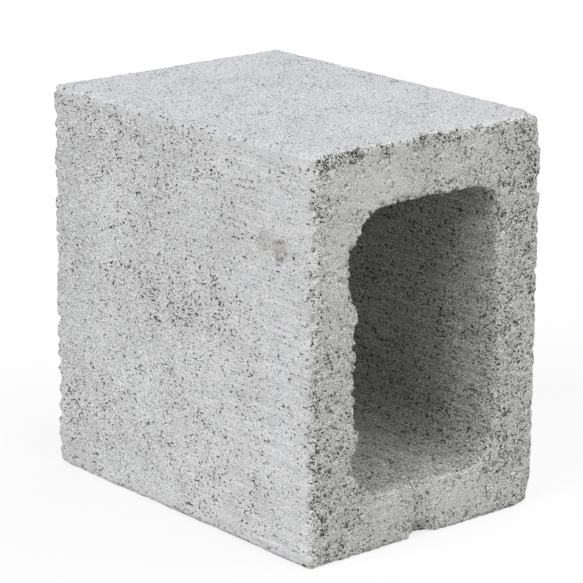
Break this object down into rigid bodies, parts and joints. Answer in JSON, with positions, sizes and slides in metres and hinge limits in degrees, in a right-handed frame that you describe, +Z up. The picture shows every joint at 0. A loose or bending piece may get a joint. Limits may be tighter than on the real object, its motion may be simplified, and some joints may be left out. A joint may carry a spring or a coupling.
{
  "type": "hollow concrete half block",
  "caption": "Cast concrete half block with a tapered core right through it, for bonding out the ends and openings of a block wall.",
  "frame": {"origin": "middle of the end face that the block stands on", "axes": "+X across the thickness of the wall that it builds, -Y along the core towards its wide mouth, +Z up, along the course"},
  "size_m": [0.14, 0.19, 0.19],
  "materials": {
    "concrete": "matt dry-pressed concrete, pale grey, finely pitted on its moulded faces and coarser on the moulded top"
  },
  "bodies": {
    "root": {"half_block": "concrete"}
  },
  "joints": []
}
